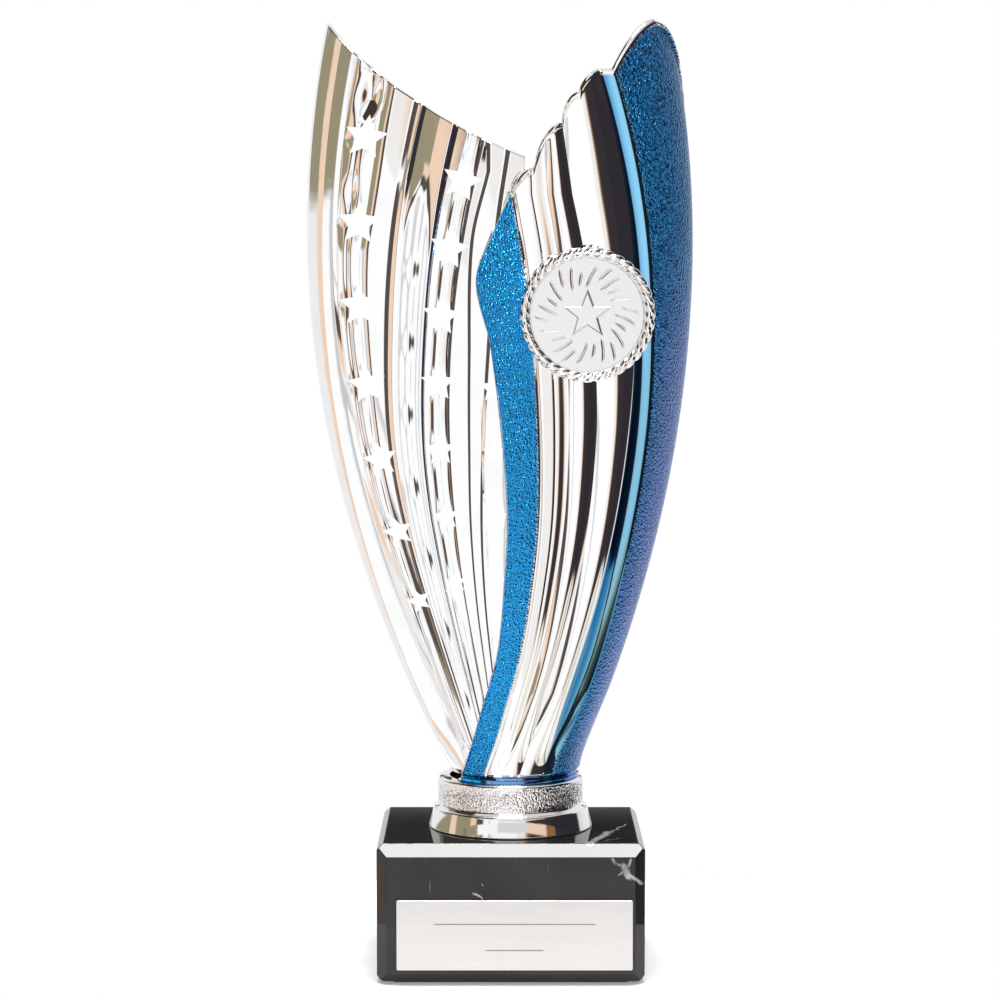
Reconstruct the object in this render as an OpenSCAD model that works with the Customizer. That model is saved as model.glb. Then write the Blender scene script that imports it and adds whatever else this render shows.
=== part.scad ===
// Column trophy: two curved leaves stand in a round collar on a marble block.
// The origin is the centre of the felt's underside. X is to the right, -Y is the front, Z is up.

/* [Base] */
// Width of the marble block
base_w = 57; // [54:1:80]
// Depth of the marble block
base_d = 48; // [44:1:80]
// Height of the block's top face above the table
base_h = 30; // [24:1:50]
// Chamfer of the four upright edges
upright_chamfer = 2.1; // [0.5:0.1:4]
// Chamfer of the front and back top edges
front_chamfer = 2.6; // [0.5:0.1:4]
// Chamfer of the front and back bottom edges
foot_chamfer = 2; // [0.5:0.1:4]
// Chamfer of the top and bottom edges at the two sides
side_chamfer = 1.3; // [0.5:0.1:3]
// Thickness of the felt under the block
felt_t = 0.4; // [0.3:0.1:2]

/* [Engraving plate] */
// Width of the plate
plate_w = 50; // [30:1:52]
// Height of the plate
plate_h = 15; // [8:1:18]
// Thickness of the plate
plate_t = 0.5; // [0.3:0.1:1]
// Distance of the plate's centre to the right of the block's centre
plate_x = 0.8; // [-1:0.1:1]
// Height of the plate's centre above the table
plate_z = 10.9; // [10:0.1:14]
// Thickness of the double-sided tape behind the plate and the disc
tape_t = 0.3; // [0.2:0.1:0.6]

/* [Collar] */
// Height of the collar above the block
collar_h = 11.2; // [9:0.1:16]
// Radius of the polished foot band
foot_r = 17.8; // [16.8:0.1:20]
// Height of the polished foot band
foot_h = 4.8; // [3.5:0.1:6]
// Radius of the hammered band
band_r = 15.8; // [15.2:0.1:16]

/* [Leaves] */
// Height of the leaves' tips above the table
height = 204.6; // [190:0.1:240]
// Thickness of both mouldings
sheet_t = 1.1; // [0.8:0.1:1.5]
// Half width of the star leaf where it is widest
star_half_w = 44; // [40:0.1:50]
// Half depth of the star leaf where it is widest
star_half_d = 15; // [13:0.1:16]
// Half width of the fluted leaf where it is widest
flute_half_w = 39; // [38:0.1:42]
// Half depth of the fluted leaf where it is widest
flute_half_d = 19.5; // [19:0.1:20]
// Number of rows of facets up each leaf
rows = 34; // [16:1:36]

/* [Stars] */
// Width of the largest star
star_w = 9.2; // [8:0.1:11]
// Inner radius of a star over its outer radius
star_waist = 0.48; // [0.38:0.01:0.6]

/* [Medallion] */
// Diameter of the centre disc
disc_d = 25; // [24:0.5:26]
// Thickness of the centre disc
disc_t = 1.2; // [0.8:0.1:2]
// Diameter of the rope around the disc
rope_t = 2.2; // [1.6:0.1:2.4]
// Distance of the medallion to the right of the axis
medal_x = 16; // [15.8:0.1:17]
// Height of the medallion's centre above the table
medal_z = 141.9; // [138:0.1:146]

/* [Hardware] */
// Diameter of the threaded rod
rod_d = 6; // [5:1:6]

/* [Hidden] */
$fn = 64;

// Base
counterbore_r = 10;
counterbore_h = 10;
bore_clearance = 0.4;
felt_inset = 3;

// Collar and what stands in it
collar_top = base_h + collar_h;
collar_floor = base_h + 3;
socket_r = 13.3;
hub_r = 9.9;
hub_top = collar_top + 6;
hub_floor = 3;
hub_round = 1.5;

// M6 hardware
nut_af = 10;
nut_h = 5;
washer_r = 6;
washer_h = 1.6;
lock_washer_r = 5.2;
lock_washer_h = 1.5;
rod_bottom = felt_t + 1.2;
rod_top = collar_top + 3;
washer_z = felt_t + counterbore_h - washer_h;
lock_washer_z = washer_z - lock_washer_h;
bottom_nut_z = lock_washer_z - nut_h;
top_nut_z = collar_floor + hub_floor;

// Leaves: half widths and depths at the collar, and where the outlines turn
star_root = [12.2, 11.2];
flute_root = [13.2, 13.2];
star_belly_z = 160;
flute_belly_z = 157;
star_droop = 4.5;
flute_droop = 5;
star_edges = [-93, 4];
flute_right_edge = 92;
flange_h = 0.9;
flange_w = 1.4;

// Medallion: the rope's centre circle and the planes along Y
rope_r = disc_d / 2 + 0.6;
rope_y = -21.7;
cup_r = 13.3;
cup_back = -11.5;
recess_r = disc_d / 2 + 0.1;
disc_back = -20.6;
hole_clearance = 0.1;

// --- Shared functions ---

// Rises quickly from 0 and levels out at 1
function ease(s) = 1 - pow(1 - min(max(s, 0), 1), 2);

// Half size of a leaf at height z: it swells from the root to the belly, then draws in a little
function half_size(z, root, wide, droop, belly) =
    z < belly ? root + (wide - root) * ease((z - collar_top) / (belly - collar_top))
              : wide - droop * pow((z - belly) / (height - belly), 2);

// Smooth curve through points [z, angle], in order of z
function slope(p, i) =
    let (a = p[max(i - 1, 0)], b = p[min(i + 1, len(p) - 1)]) (b[1] - a[1]) / (b[0] - a[0]);
function piece_of(p, z, i = 0) = i >= len(p) - 2 || z < p[i + 1][0] ? i : piece_of(p, z, i + 1);
function smooth(p, z) =
    let (
        i = piece_of(p, z),
        h = p[i + 1][0] - p[i][0],
        s = min(max((z - p[i][0]) / h, 0), 1),
        k = s * s * (3 - 2 * s)
    )
    p[i][1] * (1 - k) + p[i + 1][1] * k
        + h * (slope(p, i) * s * pow(1 - s, 2) - slope(p, i + 1) * s * s * (1 - s));

function bell(x) = exp(-x * x);
function lerp(a, b, s) = a + (b - a) * s;

// Point of an upright elliptical sheet: angle t from the front, pushed outwards by off
function on_leaf(t, z, a, b, off) =
    let (n = [b * sin(t), -a * cos(t)], m = norm(n))
    [a * sin(t) + off * n[0] / m, -b * cos(t) + off * n[1] / m, z];

// Closed sheet from two grids of points, each a list of columns that run upwards
module sheet(outer, inner) {
    cols = len(outer);
    n = len(outer[0]);
    points = [for (g = [outer, inner]) for (c = g) for (p = c) p];
    function o(i, j) = i * n + j;
    function q(i, j) = cols * n + i * n + j;
    faces = concat(
        [for (i = [0:cols - 2]) for (j = [0:n - 2])
            each [[o(i, j), o(i, j + 1), o(i + 1, j + 1)], [o(i, j), o(i + 1, j + 1), o(i + 1, j)]]],
        [for (i = [0:cols - 2]) for (j = [0:n - 2])
            each [[q(i, j), q(i + 1, j + 1), q(i, j + 1)], [q(i, j), q(i + 1, j), q(i + 1, j + 1)]]],
        [for (i = [0:cols - 2])
            each [[o(i, 0), o(i + 1, 0), q(i + 1, 0)], [o(i, 0), q(i + 1, 0), q(i, 0)]]],
        [for (i = [0:cols - 2])
            let (t = n - 1)
            each [[o(i, t), q(i + 1, t), o(i + 1, t)], [o(i, t), q(i, t), q(i + 1, t)]]],
        [for (j = [0:n - 2]) each [[o(0, j), q(0, j + 1), o(0, j + 1)], [o(0, j), q(0, j), q(0, j + 1)]]],
        [for (j = [0:n - 2])
            let (c = cols - 1)
            each [[o(c, j), o(c, j + 1), q(c, j + 1)], [o(c, j), q(c, j + 1), q(c, j)]]]
    );
    polyhedron(points, faces, convexity = 8);
}

// --- Star leaf ---

star_step = [for (i = [0:44]) lerp(star_edges[0], star_edges[1], i / 44)];

// Heights and angles of the three columns of stars; k counts down from the top
function star1_z(k) = 179.3 - 18.45 * k + 0.33 * k * k;
function star2_z(k) = 170 - 14.25 * k;
function star3_z(k) = 126.2 - 13.7 * k;
function star1_t(z) = -48 + 2.9 * pow((z - 141) / 40, 2);
function star2_t(z) = -22.8 + 9.2 * pow((z - 106) / 64, 2);
star3_t = -5;

function star_a(z) = half_size(z, star_root[0], star_half_w, star_droop, star_belly_z);
function star_b(z) = half_size(z, star_root[1], star_half_d, 0, star_belly_z);

// The top edge slopes down to the right in a shallow curve
function star_top(t) =
    let (x = 42.5 * sin(t)) height - 28.3 - 0.42 * x + 0.0055 * x * x;

// Ribs under the columns of stars, one more between the first two, and a bead along the left edge
function star_relief(t, z) =
    let (t1 = star1_t(z), t2 = star2_t(z), fade = min(max((z - collar_top - 8) / 30, 0), 1))
    fade * (0.7 * bell((t - t1) / 4) + 0.5 * bell((t - (t1 + t2) / 2) / 3)
        + 0.7 * bell((t - t2) / 3.5) + 0.5 * bell((t - star3_t) / 3) + 0.5 * bell((t + 84) / 4));

function star_column(t, side) = [
    for (j = [-2:rows])
        let (
            z = j == -2 ? collar_floor : j == -1 ? collar_top : lerp(collar_top + 1.5, star_top(t), j / rows)
        )
        on_leaf(t, z, star_a(z), star_b(z), star_relief(t, z) - side * sheet_t)
];

// Outline of a five-pointed star with its top point up
function star_outline(r, waist) =
    [for (i = [0:9]) let (q = i % 2 == 0 ? r : r * waist) [-q * sin(36 * i), q * cos(36 * i)]];

// Star pierced from the front
module star_hole(t, z, w, tilt) {
    translate([star_a(z) * sin(t), 0, z])
        rotate([90, 0, 0])
            rotate(tilt)
                linear_extrude(30) polygon(star_outline(w / 2 / cos(18), star_waist));
}

module star_leaf() {
    color([0.85, 0.86, 0.87])
        difference() {
            sheet([for (t = star_step) star_column(t, 0)], [for (t = star_step) star_column(t, 1)]);
            for (k = [0:6]) {
                z1 = star1_z(k);
                z2 = star2_z(k);
                star_hole(star1_t(z1), z1, star_w - 0.11 * k * k, 0.35 * (150 - z1));
                star_hole(star2_t(z2), z2, star_w - 0.7 - 0.12 * k * k, 0.32 * (122 - z2));
            }
            for (k = [0:3])
                star_hole(star3_t, star3_z(k), star_w - 3.2 - 0.6 * k, 0);
        }
}

// --- Fluted leaf ---

// Lines that run up the leaf, as [height, angle from the front]
left_edge = [[41, -52], [49, -32], [58, -18], [69, -7.5], [86, -2.8], [102, -1.7], [135, -6.6], [149, -11],
    [159, -5.7], [167, -0.2]];
left_band_edge = [[41, -24], [50, -9.5], [58, -1.7], [69, 5.6], [86, 9.8], [102, 10.8], [132, 8], [152, 4.6],
    [167, 0.8]];
bead_left = [[41, 27], [58, 35.8], [85, 44], [118, 46], [150, 43], [170, 38.6], [191, 32.2], [204, 27]];
bead_right = [[41, 33], [49, 39.8], [57, 46.7], [68, 51.3], [85, 52.3], [118, 52.3], [149, 48.3], [170, 43.4],
    [191, 36.2], [204, 30]];
// Where the four flutes meet as parts of the chrome width, low down and at the top edge
flute_joins = [0, 0.15, 0.27, 0.57, 1];
top_joins = [0, 0.15, 0.27, 0.45, 1];
flute_swell = [0.4, 0.2, 1.3, 1.9];
band_rise = 0.9; // how far the right band stands above the flutes, at its left side
// Knots of the scalloped top edge: part of the chrome width, and depth below the tip
scallop_at = [0, 0.17, 0.45, 0.66, 1];
scallop_z = [36.6, 32, 22.6, 16.2, 11.3];

// Columns of facets: [zone, part of the zone]. Zones: left band, four flutes, bead, right band
zone_cols = [5, 4, 3, 7, 9, 4, 12];
bead = 5;
flute_step = concat([for (i = [0:6]) for (k = [0:zone_cols[i] - 1]) [i, k / zone_cols[i]]], [[6, 1]]);

function flute_a(z) = half_size(z, flute_root[0], flute_half_w, flute_droop, flute_belly_z);
function flute_b(z) = half_size(z, flute_root[1], flute_half_d, 0, flute_belly_z);

function flute_line(i, z) =
    let (zz = max(z, collar_top), rise = min(max((zz - 118) / 67, 0), 1))
    i == 0 ? smooth(left_edge, zz)
    : i == bead + 1 ? smooth(bead_right, zz)
    : i == bead + 2 ? flute_right_edge
    : lerp(smooth(left_band_edge, zz), smooth(bead_left, zz), lerp(flute_joins[i - 1], top_joins[i - 1], rise));

function scallop(f, i = 0) =
    i < len(scallop_at) - 2 && f > scallop_at[i + 1] ? scallop(f, i + 1)
    : let (s = (f - scallop_at[i]) / (scallop_at[i + 1] - scallop_at[i]))
      height - lerp(scallop_z[i], scallop_z[i + 1], pow(ease(s), 0.75));

function band_top(s) =
    let (peak = 0.48)
    height - 0.4 - (s < peak ? 11 * pow(1 - s / peak, 1.6) : 17 * pow((s - peak) / (1 - peak), 2.2));

function flute_top(c) =
    c[0] == 0 ? height - scallop_z[0]
    : c[0] < bead ? scallop(lerp(top_joins[c[0] - 1], top_joins[c[0]], c[1]))
    : c[0] == bead ? height - scallop_z[4]
    : band_top(c[1]);

function flute_relief(c, z, top) =
    let (
        fade = min(max((z - collar_top) / 20, 0.15), 1),
        arch = sin(180 * c[1]),
        swell = c[0] == 0 ? 0.5 * pow(arch, 0.3)
            : c[0] < bead ? flute_swell[c[0] - 1] * arch
            : c[0] == bead ? band_rise * c[1]
            : band_rise * (1 - c[1] * c[1]) + 0.3 * arch
    )
    fade * swell + 0.35 * bell((top - z) / 1.2);

// Rows of a column as [height, flare]: the tenon, the flange on the collar, then up to the top edge
function flute_rows(top) = concat(
    [[collar_floor, 0], [collar_top, 0], [collar_top, flange_w], [collar_top + flange_h, flange_w],
        [collar_top + flange_h + 0.1, 0.8]],
    [for (j = [0:rows]) let (s = 1 - pow(1 - j / rows, 1.25), z = lerp(collar_top + 2.2, top, s))
        [z, 0.5 * exp((collar_top + 2.2 - z) / 3)]]
);

function flute_column(c, side) =
    let (top = flute_top(c))
    [for (row = flute_rows(top))
        let (z = row[0], t = lerp(flute_line(c[0], z), flute_line(c[0] + 1, z), c[1]))
        on_leaf(t, z, flute_a(z), flute_b(z),
            side == 1 ? -sheet_t + (z > collar_top + 2 ? flute_relief(c, z, top) : 0)
                      : row[1] + (z > collar_top + 2 ? flute_relief(c, z, top) : 0))
    ];

// Moves to the medallion: +Z of the child is the front, -Y of the trophy
module at_medal(y) {
    translate([medal_x, y, medal_z])
        rotate([90, 0, 0])
            children();
}

module fluted_leaf() {
    color([0.16, 0.45, 0.72])
        difference() {
            sheet([for (c = flute_step) flute_column(c, 0)], [for (c = flute_step) flute_column(c, 1)]);
            at_medal(-5) cylinder(r = cup_r + hole_clearance, h = 25);
        }
}

// --- Medallion ---

module rope_bezel() {
    depth = cup_back - disc_back;
    color([0.88, 0.88, 0.89])
        at_medal(cup_back)
            difference() {
                union() {
                    cylinder(r = cup_r, h = cup_back - rope_y);
                    translate([0, 0, cup_back - rope_y])
                        rotate_extrude() translate([rope_r, 0]) circle(d = rope_t);
                }
                translate([0, 0, depth]) cylinder(r = recess_r, h = 10);
                translate([0, 0, -1]) cylinder(r = recess_r - 1, h = depth);
            }
}

module disc_tape() {
    color([0.9, 0.88, 0.8])
        at_medal(disc_back) cylinder(r = disc_d / 2 - 1, h = tape_t);
}

module centre_disc() {
    color([0.9, 0.9, 0.91])
        at_medal(disc_back - tape_t) cylinder(r = disc_d / 2, h = disc_t);
}

// --- Base ---

// Rectangle with its corners cut off
module chamfered(w, h, cx, cy) {
    x = w / 2;
    y = h / 2;
    polygon([[x - cx, -y], [x, cy - y], [x, y - cy], [x - cx, y], [cx - x, y], [-x, y - cy], [-x, cy - y],
        [cx - x, -y]]);
}

// Upright section of the block from its felt to its top, with chamfers at both ends
module block_section(w, top, foot) {
    x = w / 2;
    polygon([[foot - x, felt_t], [x - foot, felt_t], [x, felt_t + foot], [x, base_h - top], [x - top, base_h],
        [top - x, base_h], [-x, base_h - top], [-x, felt_t + foot]]);
}

module marble_base() {
    color([0.13, 0.13, 0.14])
        difference() {
            intersection() {
                linear_extrude(base_h) chamfered(base_w, base_d, upright_chamfer, upright_chamfer);
                translate([-base_w / 2, 0, 0])
                    rotate([90, 0, 90])
                        linear_extrude(base_w) block_section(base_d, front_chamfer, foot_chamfer);
                translate([0, base_d / 2, 0])
                    rotate([90, 0, 0])
                        linear_extrude(base_d) block_section(base_w, side_chamfer, side_chamfer);
            }
            cylinder(d = rod_d + 2 * bore_clearance, h = base_h + 1);
            cylinder(r = counterbore_r, h = felt_t + counterbore_h);
        }
}

module felt_pad() {
    color([0.07, 0.07, 0.08])
        linear_extrude(felt_t) chamfered(base_w - 2 * felt_inset, base_d - 2 * felt_inset, 1, 1);
}

module plate_tape() {
    color([0.9, 0.88, 0.8])
        translate([plate_x - plate_w / 2 + 1, -base_d / 2 - tape_t, plate_z - plate_h / 2 + 1])
            cube([plate_w - 2, tape_t, plate_h - 2]);
}

module engraving_plate() {
    corner = 0.2;
    color([0.86, 0.85, 0.84])
        translate([plate_x, -base_d / 2 - tape_t, plate_z])
            rotate([90, 0, 0])
                linear_extrude(plate_t) chamfered(plate_w, plate_h, corner, corner);
}

// --- Collar, hub and hardware ---

// Points of an arc about [x, y] from angle a0 to a1
function arc(x, y, r, a0, a1, n) =
    [for (i = [0:n]) let (a = lerp(a0, a1, i / n)) [x + r * cos(a), y + r * sin(a)]];

module foot_collar() {
    foot_round = 0.9;
    top_round = 0.7;
    waist_z = base_h + foot_h;
    color([0.84, 0.83, 0.81])
        rotate_extrude()
            polygon(concat(
                [[rod_d / 2 + bore_clearance, base_h]],
                arc(foot_r - foot_round, base_h + foot_round, foot_round, -90, 0, 4),
                arc(foot_r - 0.85, waist_z - 0.85, 0.85, 0, 90, 4),
                [[band_r + 0.3, waist_z + 0.2], [band_r, waist_z + 0.7]],
                arc(band_r - top_round, collar_top - top_round, top_round, 0, 90, 4),
                [[socket_r, collar_top], [socket_r, collar_floor], [rod_d / 2 + bore_clearance, collar_floor]]
            ));
}

// The nut is moulded into the hub, so its pocket is the nut's own hexagon
module column_hub() {
    color([0.2, 0.2, 0.21])
        difference() {
            rotate_extrude()
                polygon(concat(
                    [[0, collar_floor], [hub_r, collar_floor]],
                    arc(hub_r - hub_round, hub_top - hub_round, hub_round, 0, 90, 4),
                    [[0, hub_top]]
                ));
            cylinder(r = rod_d / 2 + bore_clearance, h = rod_top + 0.5);
            translate([0, 0, top_nut_z]) cylinder(d = nut_af / cos(30), h = nut_h, $fn = 6);
        }
}

module threaded_rod() {
    color([0.6, 0.6, 0.58])
        translate([0, 0, rod_bottom]) cylinder(d = rod_d, h = rod_top - rod_bottom);
}

module nut(z) {
    color([0.62, 0.61, 0.57])
        translate([0, 0, z])
            difference() {
                cylinder(d = nut_af / cos(30), h = nut_h, $fn = 6);
                translate([0, 0, -1]) cylinder(d = rod_d, h = nut_h + 2);
            }
}

module top_nut() nut(top_nut_z);
module bottom_nut() nut(bottom_nut_z);

module ring(z, r, h, gap = 0) {
    color([0.6, 0.6, 0.6])
        translate([0, 0, z])
            difference() {
                cylinder(r = r, h = h);
                translate([0, 0, -1]) cylinder(r = rod_d / 2 + 0.2, h = h + 2);
                if (gap > 0) translate([0, -gap / 2, -1]) cube([r + 1, gap, h + 2]);
            }
}

module flat_washer() ring(washer_z, washer_r, washer_h);
module lock_washer() ring(lock_washer_z, lock_washer_r, lock_washer_h, 0.8);

marble_base();
felt_pad();
plate_tape();
engraving_plate();
foot_collar();
column_hub();
threaded_rod();
top_nut();
flat_washer();
lock_washer();
bottom_nut();
star_leaf();
fluted_leaf();
rope_bezel();
disc_tape();
centre_disc();
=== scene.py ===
"""Looks for the column trophy: two metallised leaves in a round collar on a black marble block.

Lengths are in millimetres unless a name ends in _m, and MM turns them into metres.
The leaves follow the same rules as the CAD model, with finer ribs, rounded rims and smooth surfaces.
"""

import math

import bmesh
import bpy
import numpy as np
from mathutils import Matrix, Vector, noise

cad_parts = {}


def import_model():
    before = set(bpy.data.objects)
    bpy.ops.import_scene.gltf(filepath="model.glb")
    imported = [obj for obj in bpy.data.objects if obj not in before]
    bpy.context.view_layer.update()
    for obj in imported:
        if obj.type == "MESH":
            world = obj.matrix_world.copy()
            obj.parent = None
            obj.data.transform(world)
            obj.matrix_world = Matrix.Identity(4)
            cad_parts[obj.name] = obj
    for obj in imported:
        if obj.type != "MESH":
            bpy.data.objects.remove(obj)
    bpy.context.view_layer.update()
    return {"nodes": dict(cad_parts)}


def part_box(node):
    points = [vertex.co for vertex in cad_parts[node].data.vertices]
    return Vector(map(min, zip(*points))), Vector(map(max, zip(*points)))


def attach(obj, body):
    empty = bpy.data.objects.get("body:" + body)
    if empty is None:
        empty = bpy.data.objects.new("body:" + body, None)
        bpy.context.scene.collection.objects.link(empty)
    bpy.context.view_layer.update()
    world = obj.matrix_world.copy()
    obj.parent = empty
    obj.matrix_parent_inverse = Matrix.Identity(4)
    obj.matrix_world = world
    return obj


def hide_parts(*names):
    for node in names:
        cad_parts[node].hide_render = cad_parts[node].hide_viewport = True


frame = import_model()

MM = 0.001


def cad_box(node):
    """Lowest and highest corner of a CAD node, in millimetres."""
    low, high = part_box(node)
    return np.array(low) / MM, np.array(high) / MM


# -------- sizes from the frame

COLLAR_LOW, COLLAR_HIGH = cad_box("foot_collar")
MARBLE_LOW, MARBLE_HIGH = cad_box("marble_base")
PLATE_LOW, PLATE_HIGH = cad_box("engraving_plate")
BEZEL_LOW, BEZEL_HIGH = cad_box("rope_bezel")
DISC_LOW, DISC_HIGH = cad_box("centre_disc")

COLLAR_TOP = COLLAR_HIGH[2]
SOCKET_FLOOR = cad_box("fluted_leaf")[0][2]
HEIGHT = 204.6
SHEET_T = 1.1

STAR_ROOT = (12.2, 11.2)
STAR_HALF = (44.0, 15.0)
STAR_BELLY_Z = 160.0
STAR_DROOP = 4.5
STAR_EDGES = (-93.0, 4.0)
STAR_W = 9.2
STAR_WAIST = 0.48
STAR_GAP = 21.5

FLUTE_ROOT = (13.2, 13.2)
FLUTE_HALF = (39.0, 19.5)
FLUTE_BELLY_Z = 157.0
FLUTE_DROOP = 5.0
FLUTE_RIGHT_EDGE = 92.0
FLANGE_H = 0.9
FLANGE_W = 1.4

MEDAL = (BEZEL_LOW + BEZEL_HIGH) / 2
CUP_R = 13.3
DISC_R = (DISC_HIGH[0] - DISC_LOW[0]) / 2
RECESS_R = DISC_R + 0.1
ROPE_D = 2.2
ROPE_R = (BEZEL_HIGH[0] - BEZEL_LOW[0] - ROPE_D) / 2


# -------- small helpers


def lerp(a, b, s):
    return a + (b - a) * s


def clamp01(x):
    return np.clip(x, 0.0, 1.0)


def ease(s):
    """Rises quickly from 0 and levels out at 1."""
    return 1 - (1 - clamp01(s)) ** 2


def step(a, b, x):
    """0 before a, 1 after b, smooth between."""
    s = clamp01((x - a) / (b - a))
    return s * s * (3 - 2 * s)


def bell(x):
    return np.exp(-x * x)


def smooth(points, z):
    """Smooth curve through points (height, value), in order of height."""
    zs, vs = np.array(points, float).T
    last = len(points) - 1
    lows = np.maximum(np.arange(last + 1) - 1, 0)
    highs = np.minimum(np.arange(last + 1) + 1, last)
    slopes = (vs[highs] - vs[lows]) / (zs[highs] - zs[lows])
    i = np.clip(np.searchsorted(zs, z, side="right") - 1, 0, last - 1)
    h = zs[i + 1] - zs[i]
    s = clamp01((z - zs[i]) / h)
    k = s * s * (3 - 2 * s)
    bend = slopes[i] * s * (1 - s) ** 2 - slopes[i + 1] * s * s * (1 - s)
    return vs[i] * (1 - k) + vs[i + 1] * k + h * bend


def half_size(z, root, wide, droop, belly):
    """Half width or depth of a leaf at height z."""
    below = root + (wide - root) * ease((z - COLLAR_TOP) / (belly - COLLAR_TOP))
    above = wide - droop * ((z - belly) / (HEIGHT - belly)) ** 2
    return np.where(z < belly, below, above)


def on_leaf(t, z, a, b, off):
    """Points of an upright elliptical sheet: angle t from the front, pushed outwards by off."""
    s, c = np.sin(np.radians(t)), np.cos(np.radians(t))
    nx, ny = b * s, -a * c
    m = np.sqrt(nx * nx + ny * ny)
    return np.stack([a * s + off * nx / m, -b * c + off * ny / m, z + 0 * t], axis=-1)


def add_object(name, data):
    obj = bpy.data.objects.new(name, data)
    bpy.context.scene.collection.objects.link(obj)
    return obj


def new_object(name, verts_mm, faces, crease=35.0):
    """A smooth-shaded mesh object from points in millimetres."""
    mesh = bpy.data.meshes.new(name)
    mesh.from_pydata((np.asarray(verts_mm, float) * MM).tolist(), [], faces)
    obj = add_object(name, mesh)
    tidy_mesh(obj, crease)
    return obj


def tidy_mesh(obj, crease):
    """Joins points that meet, turns faces outwards and shades the mesh smooth up to the crease angle."""
    bm = bmesh.new()
    bm.from_mesh(obj.data)
    bmesh.ops.remove_doubles(bm, verts=bm.verts, dist=0.0005 * MM)
    bmesh.ops.dissolve_degenerate(bm, edges=bm.edges, dist=0.0005 * MM)
    bmesh.ops.recalc_face_normals(bm, faces=bm.faces)
    bm.to_mesh(obj.data)
    bm.free()
    obj.data.shade_smooth()
    obj.data.set_sharp_from_angle(angle=math.radians(crease))


def apply_modifiers(obj):
    """Replaces the mesh by what its modifiers make of it."""
    bpy.context.view_layer.update()
    graph = bpy.context.evaluated_depsgraph_get()
    mesh = bpy.data.meshes.new_from_object(obj.evaluated_get(graph))
    obj.modifiers.clear()
    old = obj.data
    obj.data = mesh
    bpy.data.meshes.remove(old)


def cut(obj, cutter, crease=35.0):
    """Takes the cutter's solid away from obj and deletes the cutter."""
    modifier = obj.modifiers.new("cut", "BOOLEAN")
    modifier.operation = "DIFFERENCE"
    modifier.solver = "MANIFOLD"
    modifier.object = cutter
    apply_modifiers(obj)
    tidy_mesh(obj, crease)
    bpy.data.objects.remove(cutter)


def grid_faces(n, m, start=0, close=False, flip=False):
    """Quads of a grid of n columns of m points; close joins the last column to the first."""
    faces = []
    for i in range(n if close else n - 1):
        a, b = start + i * m, start + ((i + 1) % n) * m
        for j in range(m - 1):
            quad = (a + j, b + j, b + j + 1, a + j + 1)
            faces.append(quad[::-1] if flip else quad)
    return faces


def round_rim(outer, inner, axis):
    """Adds half a round rim to both grids at the two ends of an axis, so that they meet in the middle."""
    outer, inner = np.moveaxis(outer, axis, 0), np.moveaxis(inner, axis, 0)
    ends = []
    for edge, inside in ((0, 1), (-1, -2)):
        mid = (outer[edge] + inner[edge]) / 2
        half = (outer[edge] - inner[edge]) / 2
        along = outer[edge] - outer[inside] + inner[edge] - inner[inside]
        length = np.linalg.norm(along, axis=-1, keepdims=True)
        along = along / np.maximum(length, 1e-9)
        ends.append((mid, half, along * (np.linalg.norm(half, axis=-1, keepdims=True) * 0.8)))

    def arc(end, sign, degrees):
        mid, half, reach = end
        a = math.radians(degrees)
        return mid + sign * half * math.cos(a) + reach * (math.sin(a) - 1)

    grids = []
    for grid, sign in ((outer, 1), (inner, -1)):
        first = np.stack([arc(ends[0], sign, a) for a in (90, 60, 30, 0)])
        last = np.stack([arc(ends[1], sign, a) for a in (0, 30, 60, 90)])
        grids.append(np.moveaxis(np.concatenate([first, grid[1:-1], last]), 0, axis))
    return grids


def sheet(name, outer, inner):
    """Closed sheet with rounded rims from two grids of points, [column, row, xyz]."""
    outer, inner = round_rim(outer, inner, 1)
    outer, inner = round_rim(outer, inner, 0)
    n, m = outer.shape[:2]
    verts = np.concatenate([outer.reshape(-1, 3), inner.reshape(-1, 3)])
    faces = grid_faces(n, m) + grid_faces(n, m, start=n * m, flip=True)
    return new_object(name, verts, faces)


def revolve(name, profile, steps, bump=None, crease=35.0):
    """Closed ring from a closed profile of (radius, height); bump(angle) moves its points outwards."""
    profile = np.asarray(profile, float)
    m = len(profile)
    verts = np.zeros((steps, m + 1, 3))
    for k in range(steps):
        a = 2 * math.pi * k / steps
        r = profile[:, 0].copy()
        if bump is not None:
            r += bump(a)
        ring = np.stack([r * math.cos(a), r * math.sin(a), profile[:, 1]], axis=-1)
        verts[k, :m] = ring
        verts[k, m] = ring[0]
    return new_object(name, verts.reshape(-1, 3), grid_faces(steps, m + 1, close=True), crease)


def arc_points(x, y, r, a0, a1, n):
    """Points of an arc about (x, y), angles in degrees."""
    angles = [math.radians(lerp(a0, a1, i / n)) for i in range(n + 1)]
    return [(x + r * math.cos(a), y + r * math.sin(a)) for a in angles]


def prism(outline, front, back):
    """Points and faces of an outline of (x, z) carried from one depth to another."""
    n = len(outline)
    verts = [(x, y, z) for y in (front, back) for x, z in outline]
    faces = [tuple(range(n)), tuple(n + i for i in reversed(range(n)))]
    faces += [(i, n + i, n + (i + 1) % n, (i + 1) % n) for i in range(n)]
    return verts, faces


def zone_columns(counts):
    """(zone, share) of every column of a leaf, from the number of columns in each zone."""
    columns = [(zone, k / n) for zone, n in enumerate(counts) for k in range(n)]
    return columns + [(len(counts) - 1, 1.0)]


def between_lines(lines, columns):
    """Angle of each column (zone, share) of a leaf, from the lines between its zones."""
    return np.stack([lerp(lines[zone][i], lines[zone + 1][i], s) for i, (zone, s) in enumerate(columns)])


def place(obj, material, slot, *replaced):
    """Paints a piece of the trophy's one body, hangs it on the root body and hides the nodes it replaces;
    the slot is not used.
    """
    paint(obj, material)
    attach(obj, "root")
    if replaced:
        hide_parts(*replaced)


# -------- materials


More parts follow.
